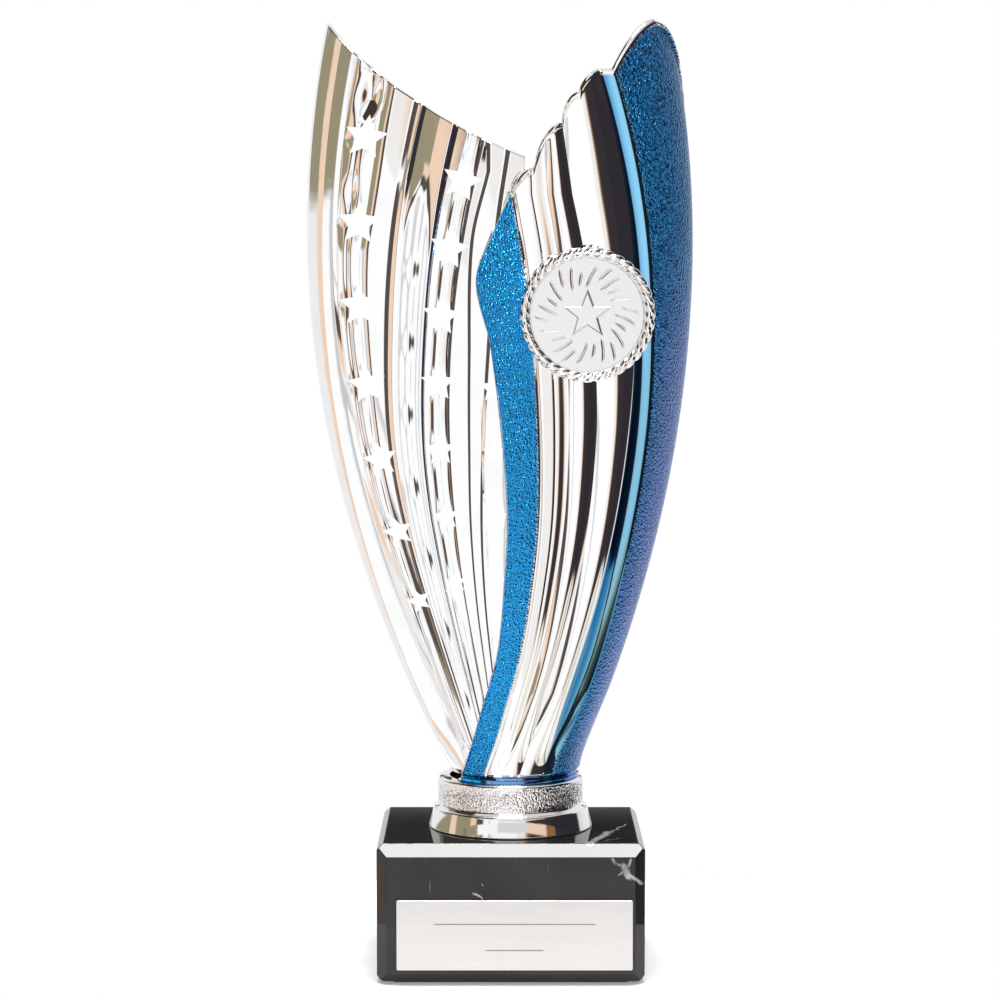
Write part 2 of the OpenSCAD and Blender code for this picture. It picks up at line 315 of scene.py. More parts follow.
class Nodes:
    """Short names for making and joining the nodes of a material or of the world."""

    def __init__(self, owner):
        owner.use_nodes = True
        self.owner = owner
        self.tree = owner.node_tree
        self.shader = self.tree.nodes.get("Principled BSDF")

    def add(self, kind, **values):
        """A new node; each value sets the input of that name, or else the node's own property."""
        node = self.tree.nodes.new(kind)
        for key, value in values.items():
            if key in node.inputs:
                node.inputs[key].default_value = value
            else:
                setattr(node, key, value)
        return node

    def link(self, a, b):
        self.tree.links.new(a, b)

    def feed(self, socket, value):
        """Sets an input to a number or a colour, or links it when the value is another node's output."""
        if isinstance(value, bpy.types.NodeSocket):
            self.link(value, socket)
        elif socket.type == "RGBA":
            socket.default_value = (*value, 1.0)
        else:
            socket.default_value = value

    def set(self, **values):
        """Feeds the shader's inputs, named with _ for a space."""
        for key, value in values.items():
            self.feed(self.shader.inputs[key.replace("_", " ")], value)

    def object_coords(self):
        return self.add("ShaderNodeTexCoord").outputs["Object"]

    def stretched(self, coords, scale, rotation=(0, 0, 0)):
        node = self.add("ShaderNodeMapping", Scale=scale, Rotation=rotation)
        self.link(coords, node.inputs["Vector"])
        return node.outputs[0]

    def noise(self, scale, detail=2.0, coords=None, output="Fac"):
        node = self.add("ShaderNodeTexNoise", Scale=scale, Detail=detail)
        self.link(coords or self.object_coords(), node.inputs["Vector"])
        return node.outputs[output]

    def voronoi(self, scale, coords):
        node = self.add("ShaderNodeTexVoronoi", Scale=scale)
        self.link(coords, node.inputs["Vector"])
        return node.outputs["Distance"]

    def attribute(self, name):
        return self.add("ShaderNodeAttribute", attribute_name=name).outputs["Fac"]

    def ramp(self, factor, stops):
        """Colours at (place from 0 to 1, colour), blended between."""
        node = self.add("ShaderNodeValToRGB")
        elements = node.color_ramp.elements
        while len(elements) < len(stops):
            elements.new(0.5)
        for element, (at, colour) in zip(elements, stops):
            element.position = at
            element.color = (*colour, 1.0)
        self.link(factor, node.inputs["Fac"])
        return node.outputs["Color"]

    def mask(self, factor, low, high):
        """Black up to low and white from high."""
        return self.ramp(factor, [(low, (0, 0, 0)), (high, (1, 1, 1))])

    def rise(self, value, low, high, interpolation="LINEAR"):
        """0 at low and 1 at high."""
        node = self.add("ShaderNodeMapRange", interpolation_type=interpolation)
        node.inputs["From Min"].default_value = low
        node.inputs["From Max"].default_value = high
        self.link(value, node.inputs["Value"])
        return node.outputs[0]

    def math(self, operation, *values):
        node = self.add("ShaderNodeMath", operation=operation)
        for socket, value in zip(node.inputs, values):
            self.feed(socket, value)
        return node.outputs[0]

    def times(self, a, b):
        return self.math("MULTIPLY", a, b)

    def mix(self, factor, a, b):
        """Mixes two colours."""
        node = self.add("ShaderNodeMix", data_type="RGBA")
        for i, value in ((0, factor), (6, a), (7, b)):
            self.feed(node.inputs[i], value)
        return node.outputs[2]

    def vector(self, operation, a, b=(0, 0, 0)):
        """Vector math; a scale takes a number for b."""
        node = self.add("ShaderNodeVectorMath", operation=operation)
        self.feed(node.inputs[0], a)
        self.feed(node.inputs["Scale" if operation == "SCALE" else 1], b)
        return node.outputs["Value" if operation in ("DOT_PRODUCT", "LENGTH") else "Vector"]

    def near_segment(self, coords, a, b, half):
        """1 along the segment from a to b, falling to 0 at half a width from it."""
        d = b - a
        from_a = self.vector("SUBTRACT", coords, tuple(a))
        along = self.times(self.vector("DOT_PRODUCT", from_a, tuple(d)), float(1 / (d @ d)))
        along.node.use_clamp = True
        off = self.vector("SUBTRACT", from_a, self.vector("SCALE", tuple(d), along))
        return self.rise(self.vector("LENGTH", off), half, 0.35 * half)

    def bump(self, height, strength, distance_m):
        """Adds a bump on top of the bumps so far."""
        node = self.add("ShaderNodeBump", Distance=distance_m)
        self.feed(node.inputs["Strength"], strength)
        self.link(height, node.inputs["Height"])
        normal = self.shader.inputs["Normal"]
        if normal.is_linked:
            self.link(normal.links[0].from_socket, node.inputs["Normal"])
        self.link(node.outputs["Normal"], normal)


def new_material(name):
    return Nodes(bpy.data.materials.new(name))


def bright_plastic(name, tint=(0.93, 0.93, 0.93), rough=0.03):
    """Vacuum-metallised plastic: a mirror with faint waviness and a few finer smears."""
    m = new_material(name)
    smear = m.noise(140, 3.0)
    colour = m.ramp(smear, [(0.35, tint), (0.75, tuple(0.95 * c for c in tint))])
    m.set(Metallic=1.0, Base_Color=colour, Roughness=m.math("MULTIPLY_ADD", smear, 0.03, rough))
    m.bump(m.noise(260, 1.0), 0.05, 0.0004)
    return m.owner


def lacquered_plastic():
    """The fluted leaf: mirror bright, with blue lacquer and a pebbled skin where the mesh says so, plus
    painted glints, painted light, painted shade and a painted highlight in the blue.
    """
    m = new_material("blue_lacquer_on_chrome")
    lacquer, pebble, painted_violet_shade = m.attribute("lacquer"), m.attribute("pebble"), m.attribute("painted_violet_shade")
    painted_left_band_light, painted_bead_highlight = m.attribute("painted_left_band_light"), m.attribute("painted_bead_highlight")
    coords = m.object_coords()
    grain = m.voronoi(1800, coords)
    deep = m.mix(m.noise(90, 2.0, coords), (0.016, 0.16, 0.42), (0.03, 0.26, 0.6))
    patch = m.mask(m.noise(1500, 2.0, coords), 0.42, 0.58)
    deep = m.mix(m.times(patch, m.times(pebble, 0.6)), deep, (0.012, 0.07, 0.22))
    # painted shade: the right band's lower side, turned away to the right, goes violet-blue
    blue = m.mix(painted_violet_shade, deep, (0.15, 0.25, 0.6))
    # painted light: the left band is a brighter azure than the right band
    blue = m.mix(painted_left_band_light, blue, (0.03, 0.42, 0.94))
    # painted highlight: a light blue streak down the bead beside the right band
    blue = m.mix(painted_bead_highlight, blue, (0.26, 0.6, 0.84))
    # painted glints: lighter blue specks at the grain's cell centres on the pebbled skin
    painted_glint = m.ramp(grain, [(0.0, (1, 1, 1)), (0.3, (0, 0, 0))])
    blue = m.mix(m.times(painted_glint, pebble), blue, (0.12, 0.56, 0.92))
    rough = m.math("MULTIPLY_ADD", pebble, 0.12, 0.04)
    m.set(Metallic=1.0, Base_Color=m.mix(lacquer, (0.93, 0.93, 0.93), blue), Roughness=rough)
    m.bump(grain, m.times(pebble, 0.9), 0.0004)
    m.bump(m.noise(3600, 1.0, coords), m.times(pebble, 0.5), 0.0002)
    return m.owner


# White veins on the block: points in millimetres from the block's right front top corner, and half widths
VEINS = (
    (((-2.8, 24.5, 0), (-5.2, 19.0, 0), (-7.9, 13.5, 0)), 0.45),
    (((-7.2, 15.5, 0), (-8.8, 10.0, 0), (-12.0, 2.6, 0)), 1.25),
    (((-4.5, 9.0, 0), (-9.5, 4.0, 0)), 0.14),
    (((-7.3, 0, -2.7), (-4.1, 0, -5.6), (-1.0, 0.6, -8.0), (0, 4.0, -9.5)), 0.42),
    (((-2.9, 0, -2.7), (-4.1, 0, -5.4), (-6.6, 0, -6.8)), 0.3),
    (((-4.6, 0, -4.6), (-3.6, 0, -6.4)), 1.05),
    (((-36.0, 0, -6.2), (-34.0, 0, -8.9)), 0.07),
    (((-36.5, 0, -10.0), (-34.6, 0, -11.4)), 0.3),
    (((-27.0, 0, -8.0), (-25.6, 0, -9.2)), 0.16),
    (((-50.0, 0, -4.0), (-49.4, 0, -6.6)), 0.08),
    (((-22.0, 0, -26.4), (-20.6, 0, -29.0)), 0.1),
)


def polished_marble():
    """Black marble with a faint cloud, hairline scratches and a few white veins."""
    m = new_material("black_marble")
    coords = m.object_coords()
    tones = [(0.35, (0.013, 0.013, 0.014)), (0.8, (0.034, 0.034, 0.036))]
    cloud = m.ramp(m.noise(55, 6.0, coords), tones)
    shift = m.vector("SUBTRACT", m.noise(420, 5.0, coords, "Color"), (0.5, 0.5, 0.5))
    warped = m.vector("ADD", coords, m.vector("MULTIPLY", shift, (0.0022, 0.0022, 0.0022)))
    veins = None
    corner = np.array([MARBLE_HIGH[0], MARBLE_LOW[1], MARBLE_HIGH[2]])
    for points, half in VEINS:
        for a, b in zip(points[:-1], points[1:]):
            near = m.near_segment(warped, (corner + a) * MM, (corner + b) * MM, half * MM)
            veins = near if veins is None else m.math("MAXIMUM", veins, near)
    flecks = m.ramp(m.noise(900, 4.0, coords), [(0.3, (0.25, 0.25, 0.25)), (0.62, (1, 1, 1))])
    hair = m.stretched(coords, (1.0, 1.0, 0.12), (0.3, 0.9, 0.4))
    streak = m.mask(m.noise(850, 2.0, hair), 0.73, 0.79)
    white = m.math("MAXIMUM", m.times(veins, flecks), m.times(streak, 0.22))
    m.set(Base_Color=m.mix(white, cloud, (0.6, 0.6, 0.6)), Roughness=0.04, IOR=1.45)
    return m.owner


def satin_metal(name, low, high, rough, grain_scale, stretch):
    """Satin aluminium between two tones, with a fine grain."""
    m = new_material(name)
    grain = m.noise(grain_scale, 3.0, m.stretched(m.object_coords(), stretch))
    colour = m.ramp(grain, [(0.3, low), (0.7, high)])
    m.set(Metallic=1.0, Base_Color=colour, Roughness=m.math("MULTIPLY_ADD", grain, 0.1, rough))
    m.bump(grain, 0.15, 0.00003)
    return m.owner


def plain_surface(name, low, high, rough, scale, bump_m, **more):
    """Two close tones and a fine bump: felt, tape, moulded plastic, zinc."""
    m = new_material(name)
    grain = m.noise(scale, 4.0)
    m.set(Base_Color=m.ramp(grain, [(0.3, low), (0.7, high)]), Roughness=rough, **more)
    m.bump(grain, 0.5, bump_m)
    return m.owner


CHROME = bright_plastic("bright_chrome_plastic")
COLLAR_CHROME = bright_plastic("collar_chrome", (0.87, 0.86, 0.86), 0.035)
LACQUER = lacquered_plastic()
MARBLE = polished_marble()
PLATE = satin_metal("satin_plate", (0.705, 0.685, 0.675), (0.745, 0.725, 0.715), 0.3, 900, (0.08, 1, 1))
DISC = satin_metal("satin_disc", (0.81, 0.81, 0.82), (0.87, 0.87, 0.88), 0.24, 1500, (1, 1, 1))
RULE = plain_surface("engraved_rule", (0.3, 0.29, 0.29), (0.42, 0.41, 0.41), 0.5, 3000, 0.00002)
FELT = plain_surface(
    "felt", (0.008, 0.008, 0.009), (0.03, 0.03, 0.032), 0.95, 2500, 0.0003, Sheen_Weight=0.6
)
TAPE = plain_surface("adhesive_tape", (0.7, 0.68, 0.6), (0.82, 0.8, 0.72), 0.6, 1200, 0.00005)
HUB = plain_surface("moulded_hub", (0.03, 0.03, 0.033), (0.05, 0.05, 0.053), 0.5, 700, 0.00005)
ZINC = plain_surface(
    "zinc_plated_steel", (0.5, 0.5, 0.47), (0.66, 0.66, 0.63), 0.28, 500, 0.00003, Metallic=1.0
)


def paint(obj, material):
    obj.data.materials.clear()
    obj.data.materials.append(material)


# -------- star leaf


# Each column of stars: height of the top star, gap, half of what each gap loses to the next, and number
STAR_ROWS = ((179.3, 18.45, 0.33, 7), (170, 14.25, 0, 7), (126.2, 13.7, 0, 4))
# Each column's middle line: angle from the front, bend, and the height and half length of the bend
STAR_LINES = ((-48, 2.9, 141, 40), (-22.8, 9.2, 106, 64), (-5, 0, 0, 1))


def star_a(z):
    return half_size(z, STAR_ROOT[0], STAR_HALF[0], STAR_DROOP, STAR_BELLY_Z)


def star_b(z):
    return half_size(z, STAR_ROOT[1], STAR_HALF[1], 0, STAR_BELLY_Z)


def star_heights(column):
    """Heights of the stars of one column, from the top down."""
    top, gap, bend, count = STAR_ROWS[column]
    return [top - gap * k + bend * k * k for k in range(count)]


def star_width(column, k):
    """Width of a column's star number k from the top."""
    return (STAR_W - 0.11 * k * k, STAR_W - 0.7 - 0.12 * k * k, STAR_W - 3.2 - 0.6 * k)[column]


def star_tilt(column, z):
    """Turn of a star in its own plane, anticlockwise in degrees."""
    return (0.35 * (150 - z), 0.32 * (122 - z), 0.0)[column]


def star_angle(column, z):
    """Angle of a column's middle line from the front."""
    angle, bend, height, half = STAR_LINES[column]
    return angle + bend * ((z - height) / half) ** 2


def star_x(column, z):
    """Distance of a column's middle line to the right of the axis."""
    return star_a(z) * np.sin(np.radians(star_angle(column, z)))


def star_half_width(column, z):
    """Half the width of the stars near height z."""
    zs = star_heights(column)[::-1]
    widths = [star_width(column, k) for k in range(len(zs))][::-1]
    return np.interp(z, [COLLAR_TOP] + zs, [0.35 * widths[0]] + widths) / 2


def pillow(column, z):
    """0 at a star and 1 half way to the next."""
    zs = np.array(star_heights(column)[::-1])
    turns = np.interp(z, zs, np.arange(len(zs)))
    below = np.minimum((zs[0] - z) / 20, 1.0)
    above = np.minimum((z - zs[-1]) / 9, 1.0)
    between = np.abs(np.sin(math.pi * turns))
    return np.where(z < zs[0], below, np.where(z > zs[-1], above, between)) ** 0.7


# Lines that run up the star leaf, as (height, value): shares of the way from the first column of stars
# to the second, or millimetres from the axis or from a column
RISER_END = ((42, 0.2), (77, 0.3), (107, 0.4), (130, 1.6), (155, 2.4), (162, 3.4), (173, 4.4), (190, 4.9))
BAND_START = ((42, 0.15), (77, 0.15), (107, 0.16), (138, 0.29), (173, 0.36), (190, 0.38))
BAND_END = ((42, 0.24), (77, 0.23), (107, 0.22), (138, 0.35), (173, 0.41), (190, 0.43))
LENS_START = ((42, 0.3), (77, 0.28), (107, 0.28), (138, 0.41), (173, 0.45), (190, 0.47))
LENS_END = ((42, 0.66), (77, 0.7), (107, 0.72), (138, 0.8), (173, 0.8), (190, 0.8))
STRIPE_1 = ((42, -2.3), (60, -4.6), (80, -7.2), (97, -8.5), (113, -8.8), (131, -8.8))
STRIPE_1 += ((157, -8.2), (172, -4.7))
STRIPE_2 = ((42, -1.6), (60, -3.3), (80, -5.4), (97, -6.2), (113, -5.9), (135, -4.7))
STRIPE_2 += ((160, -2.9), (176, -0.6))
# Number of columns in each zone between these lines
STAR_COLUMNS = (16, 14, 26, 42, 26, 18, 14, 10, 50, 14, 12, 38, 14, 16, 12, 16, 12, 44)
PILLOW_ZONES = (3, 11)
# Groups of zones whose relief comes back to nothing at both ends
STAR_GROUPS = ((0, 3), (4, 11), (12, 14), (14, 16), (16, 18))
# Directions that zones mirror from side to side, and the shares of others in closing the relief
MIRRORED = {0: (-104, -104), 1: (-95, -89), 6: (-48, -43), 7: (-58, -53), 9: (62, 78), 12: (-50, -43)}
MIRRORED |= {14: (-46, -46), 16: (-46, -46)}
CLOSING = {3: 0, 5: 0.64, 10: 0.45, 11: 0}
# Hollows: millimetres right of the first column of stars, height, half width, half height and depth
HOLLOWS = ((-0.6, 196, 2.2, 3.4, 1.5), (-0.4, 188, 2.1, 3.8, 1.7), (-2, 168, 1.2, 3, 0.6))


def star_lines(z):
    """Angles from the front of the lines between the zones of the star leaf, from left to right."""
    a = star_a(z)
    x1, x2 = star_x(0, z), star_x(1, z)
    gap = x2 - x1
    scale = gap / STAR_GAP
    half_1, half_2 = star_half_width(0, z), star_half_width(1, z)
    riser = x1 + smooth(RISER_END, z)
    lens_end = smooth(LENS_END, z)
    stripe_1, stripe_2 = smooth(STRIPE_1, z), smooth(STRIPE_2, z)
    middle = [x1 + gap * smooth(line, z) for line in (BAND_START, BAND_END, LENS_START)]
    thick = 0.035 + 0.015 * step(150, 170, z)
    middle += [x1 + gap * (lens_end + more) for more in (0, thick, thick + 0.07)]
    lines = [-a + 2.6 * scale, -a + 4.2 * scale, x1 - 1.05 * half_1, riser - 2.1 * scale, riser]
    lines += middle + [x2 + 0.5 * half_2, x2 + 0.7 * half_2]
    lines += [stripe_1 - 0.5 * scale, stripe_1 + 0.5 * scale]
    lines += [stripe_2 - 0.6 * scale, stripe_2 + 0.6 * scale]
    angles = np.degrees(np.arcsin(np.clip(np.stack(lines) / a, -1, 1)))
    left, right = (np.full_like(angles[:1], edge) for edge in STAR_EDGES)
    angles = np.concatenate([left, angles, right])
    least = 0.4
    for i in range(1, len(angles) - 1):
        angles[i] = np.maximum(angles[i], angles[i - 1] + least)
    for i in range(len(angles) - 2, 0, -1):
        angles[i] = np.minimum(angles[i], angles[i + 1] - least)
    return angles


def facing(zone, s, z):
    """Direction a zone mirrors, in degrees right of the front, and its share in closing the relief."""
    plain = 0 * z
    if zone in MIRRORED:
        return lerp(*MIRRORED[zone], s) + plain, 0
    if zone == 2:
        return (lerp(-78, -64, s / 0.75) + plain, 0) if s < 0.75 else (None, 1)
    if zone == 4:
        return np.interp(s, (0, 0.5, 0.72, 1), (-76, -63, -51, -41)) + plain, 0
    if zone == 8:
        if s < 0.12:
            return None, 1
        tongue = 173 - 70 * (s - 0.5) ** 2
        crown = step(tongue - 8, tongue + 2, z)
        if s < 0.62:
            return lerp(-33 + 3 * math.cos(9 * math.pi * s), -66, crown), 0
        return lerp(-31 + 4 * math.cos(7 * math.pi * s), -57, crown), 0
    return None, CLOSING.get(zone, 1)


def star_relief(columns, t, z):
    """Ribs, risers, pillows and dents of the star leaf, outwards; columns are (zone, share)."""
    a, b = star_a(z), star_b(z)
    sine, cosine = np.sin(np.radians(t)), np.cos(np.radians(t))
    plain = np.degrees(2 * np.arctan2(b * sine, a * cosine))
    slope, closing = np.zeros_like(z), np.zeros_like(z)
    for i, (zone, s) in enumerate(columns):
        target, share = facing(zone, s, z[i])
        closing[i] = share
        if target is not None:
            if zone == 0:
                target = np.minimum(plain[i], target)
            slope[i] = np.tan(np.radians(np.clip((plain[i] - target) / 2, -52, 40)))
    run = np.hypot(np.diff(a * sine, axis=0), np.diff(b * cosine, axis=0))
    zone_of, shares = np.array(columns).T
    total = np.zeros_like(z)
    for first, end in STAR_GROUPS:
        i0, i1 = np.searchsorted(zone_of, first), np.searchsorted(zone_of, end)
        i1 = min(i1, len(columns) - 1)
        rise = np.cumsum(((slope[i0:i1] + slope[i0 + 1 : i1 + 1]) / 2 * run[i0:i1]), axis=0)
        width = np.cumsum(closing[i0:i1] * run[i0:i1], axis=0)
        total[i0 + 1 : i1 + 1] = rise - width * rise[-1] / width[-1]
    shares = shares[:, None]
    for column, zone in enumerate(PILLOW_ZONES):
        here = (zone_of == zone)[:, None]
        puff = pillow(column, z)
        across = 1 - (2 * shares - 1) ** 4
        lines = np.cos(6 * math.pi * shares) * (1 - (2 * shares - 1) ** 2)
        height = 0.11 * puff * across + 0.012 * puff * lines
        total = total + here * star_half_width(column, z) * height
    x = a * sine
    x1, x3 = star_x(0, z), star_x(2, z)
    gap = star_x(1, z) - x1
    scale = gap / STAR_GAP
    half = star_half_width(2, z)
    low_column = 1 - step(128, 134, z)
    puff = pillow(2, z) * low_column
    total = total + 0.12 * half * puff * clamp01(1 - ((x - x3) / (half * 1.05)) ** 4)
    for across, height, wide, tall, deep in HOLLOWS:
        total = total - deep * bell((x - x1 - across) / wide) * bell((z - height) / tall)
    lens = x1 + gap * (smooth(LENS_START, z) + smooth(LENS_END, z)) / 2
    dent = np.sin(math.pi * (z - 82) / 15.4) ** 8
    total = total - 0.14 * scale * dent * (1 - step(158, 164, z)) * bell((x - lens) / (1.3 * scale))
    return step(COLLAR_TOP + 1, COLLAR_TOP + 14, z) * total


def star_top(t):
    """Height of the star leaf's top edge at an angle."""
    x = 42.5 * np.sin(np.radians(t))
    return HEIGHT - 28.3 - 0.42 * x + 0.0055 * x * x


def star_outline(r, waist):
    """Corners of a five-pointed star with its point up, points and notches in turn."""
    corners = []
    for i in range(10):
        reach = r if i % 2 == 0 else r * waist
        angle = math.pi * i / 5
        corners.append((-reach * math.sin(angle), reach * math.cos(angle)))
    return corners


def star_cutter():
    """All the star prisms in one mesh, along Y."""
    verts, faces = [], []
    for column in range(3):
        for k, z in enumerate(star_heights(column)):
            x = float(star_x(column, z))
            tilt = math.radians(star_tilt(column, z))
            c, s = math.cos(tilt), math.sin(tilt)
            r = star_width(column, k) / 2 / math.cos(math.radians(18))
            corners = star_outline(r, STAR_WAIST)
            outline = [(x + px * c - pz * s, z + px * s + pz * c) for px, pz in corners]
            points, sides = prism(outline, -30.0, -1.0)
            faces += [tuple(len(verts) + i for i in side) for side in sides]
            verts += points
    return new_object("star_cutter", verts, faces)


def build_star_leaf():
    """The pierced leaf; its top edge is found in steps, as its lines and its top depend on each other."""
    columns = zone_columns(STAR_COLUMNS)
    top = np.full((len(columns), 1), 178.0)
    for _ in range(8):
        top = star_top(between_lines(star_lines(top), columns))
    v = np.linspace(0, 1, 360)[None, :]
    tenon = np.linspace(SOCKET_FLOOR, COLLAR_TOP, 6)[None, :-1] + 0 * top
    z = np.concatenate([tenon, COLLAR_TOP + (top - COLLAR_TOP) * v], axis=1)
    t = between_lines(star_lines(np.maximum(z, COLLAR_TOP)), columns)
    relief = star_relief(columns, t, z)
    outer = on_leaf(t, z, star_a(z), star_b(z), relief)
    inner = on_leaf(t, z, star_a(z), star_b(z), relief - SHEET_T)
    leaf = sheet("star_leaf_shell", outer, inner)
    cut(leaf, star_cutter())
    place(leaf, CHROME, "bright_plastic", "star_leaf")


# -------- fluted leaf

LEFT_EDGE = [(41, -52), (49, -32), (58, -18), (69, -7.5), (86, -2.8), (102, -1.7), (135, -6.6)]
LEFT_EDGE += [(149, -11), (159, -5.7), (167, -0.2)]
LEFT_BAND_EDGE = [(41, -24), (50, -9.5), (58, -1.7), (69, 5.6), (86, 9.8), (102, 10.8), (132, 8)]
LEFT_BAND_EDGE += [(152, 4.6), (167, 0.8)]
BEAD_LEFT = [(41, 27), (58, 35.8), (85, 44), (118, 46), (150, 43), (170, 38.6), (191, 32.2), (204, 27)]
BEAD_RIGHT = [(41, 33), (49, 39.8), (57, 46.7), (68, 51.3), (85, 52.3), (118, 52.3), (149, 48.3)]
BEAD_RIGHT += [(170, 43.4), (191, 36.2), (204, 30)]
FLUTE_JOINS = (0, 0.15, 0.27, 0.57, 1)
TOP_JOINS = (0, 0.15, 0.27, 0.45, 1)
FLUTE_SWELL = (0.4, 0.2, 1.3, 1.9)
BAND_RISE = 0.9
SCALLOP_AT = (0, 0.17, 0.45, 0.66, 1)
SCALLOP_Z = (36.6, 32, 22.6, 16.2, 11.3)


def flute_a(z):
    return half_size(z, FLUTE_ROOT[0], FLUTE_HALF[0], FLUTE_DROOP, FLUTE_BELLY_Z)


def flute_b(z):
    return half_size(z, FLUTE_ROOT[1], FLUTE_HALF[1], 0, FLUTE_BELLY_Z)


def flute_zones(z):
    """The lines between zones at height z: left band, four flutes, bead, right band."""
    zz = np.maximum(z, COLLAR_TOP)
    rise = clamp01((zz - 118) / 67)
    left, right = smooth(LEFT_BAND_EDGE, zz), smooth(BEAD_LEFT, zz)
    flutes = [lerp(left, right, lerp(low, high, rise)) for low, high in zip(FLUTE_JOINS, TOP_JOINS)]
    return [smooth(LEFT_EDGE, zz)] + flutes + [smooth(BEAD_RIGHT, zz), FLUTE_RIGHT_EDGE + 0 * zz]


ZONE_COLUMNS = (26, 14, 10, 30, 50, 16, 80)
BEAD_ZONE = 5


def scallop(f):
    """Height of the scalloped top edge of the flutes, at a share of the way across them."""
    i = 0
    while i < len(SCALLOP_AT) - 2 and f > SCALLOP_AT[i + 1]:
        i += 1
    s = (f - SCALLOP_AT[i]) / (SCALLOP_AT[i + 1] - SCALLOP_AT[i])
    return HEIGHT - lerp(SCALLOP_Z[i], SCALLOP_Z[i + 1], float(ease(s)) ** 0.75)


def band_top(s):
    """Height of the right band's top edge, highest near its middle."""
    peak = 0.48
    drop = 11 * (1 - s / peak) ** 1.6 if s < peak else 17 * ((s - peak) / (1 - peak)) ** 2.2
    return HEIGHT - 0.43 - drop


def flute_top(zone, s):
    """Height of the fluted leaf's top edge at a share of the way across a zone."""
    if zone == 0:
        return HEIGHT - SCALLOP_Z[0]
    if zone < BEAD_ZONE:
        return scallop(lerp(TOP_JOINS[zone - 1], TOP_JOINS[zone], s))
    if zone == BEAD_ZONE:
        return HEIGHT - SCALLOP_Z[-1]
    return band_top(s)


def zone_swell(zone, s):
    """Relief across a zone, in millimetres outwards."""
    arch = math.sin(math.pi * s)
    if zone == 0:
        return 0.5 * arch**0.3
    if zone == 1:
        return FLUTE_SWELL[0] * min(s / 0.16, 1, (1 - s) / 0.08)
    if zone == 2:
        return 0.05 * math.sin(2 * math.pi * s)
    if zone < BEAD_ZONE:
        return FLUTE_SWELL[zone - 1] * arch
    if zone == BEAD_ZONE:
        return 0.0
    return BAND_RISE * (1 - s * s) + 0.3 * arch


def build_fluted_leaf():
    """The leaf with flutes, bead and bands, flared to a small flange where it leaves the collar."""
    steps = zone_columns(ZONE_COLUMNS)
    top = np.array([flute_top(*c) for c in steps])[:, None]
    rows = 330
    v = 1 - (1 - np.linspace(0, 1, rows)[None, :]) ** 1.15
    foot = COLLAR_TOP + 2.2
    above = foot + (top - foot) * v
    flange_top = COLLAR_TOP + FLANGE_H
    low = [(SOCKET_FLOOR, 0), (COLLAR_TOP - 1, 0), (COLLAR_TOP, 0), (COLLAR_TOP, FLANGE_W - 0.15)]
    low += [(COLLAR_TOP + 0.15, FLANGE_W), (flange_top - 0.25, FLANGE_W)]
    low += [(flange_top - 0.07, FLANGE_W - 0.07), (flange_top, FLANGE_W - 0.25)]
    low += [(flange_top + 0.05, 0.85), (flange_top + 0.4, 0.66)]
    low_z, low_flare = (np.array([values]) + 0 * top for values in zip(*low))
    z = np.concatenate([low_z, above], axis=1)
    flare = np.concatenate([low_flare, np.exp((foot - above) / 3.4)], axis=1)
    zones = flute_zones(z)
    t = between_lines(zones, steps)
    swell = np.array([zone_swell(*c) for c in steps])[:, None]
    edge_gap = np.array([1 - c[1] if c[0] == BEAD_ZONE else 1e3 for c in steps])[:, None]
    edge_gap = edge_gap * (zones[BEAD_ZONE + 1] - zones[BEAD_ZONE]) * flute_a(z) * math.pi / 180
    swell = swell + BAND_RISE * clamp01(1 - edge_gap / 2.3)
    fade = np.clip((z - COLLAR_TOP) / 20, 0.15, 1)
    relief = np.where(z > COLLAR_TOP + 2, fade * swell + 0.4 * bell((top - z - 0.75) / 0.5) - 0.02, 0)
    outer = on_leaf(t, z, flute_a(z), flute_b(z), flare + relief)
    inner = on_leaf(t, z, flute_a(z), flute_b(z), relief - SHEET_T)
    leaf = sheet("fluted_leaf_shell", outer, inner)
    cut(leaf, medal_cutter())
    mark_lacquer(leaf)
    place(leaf, LACQUER, "blue_lacquer", "fluted_leaf")


def medal_cutter():
    """Cylinder along Y for the hole that the medallion's cup goes through."""
    profile = [(0.001, 5.0), (CUP_R + 0.1, 5.0), (CUP_R + 0.1, 30.0), (0.001, 30.0)]
    cutter = revolve("medal_cutter", profile, 128)
    turn_to_medal(cutter, 0.0)
    return cutter


def turn_to_medal(obj, y):
    """Turns an object made about Z so that its +Z faces the front, at the medallion."""
    points = np.array([v.co for v in obj.data.vertices]) / MM
    turned = np.stack([points[:, 0] + MEDAL[0], y - points[:, 2], points[:, 1] + MEDAL[2]], axis=-1)
    obj.data.vertices.foreach_set("co", (turned * MM).ravel())
    obj.data.update()


def set_attribute(obj, name, values):
    attribute = obj.data.attributes.new(name, "FLOAT", "POINT")
    attribute.data.foreach_set("value", np.asarray(values, np.float32))


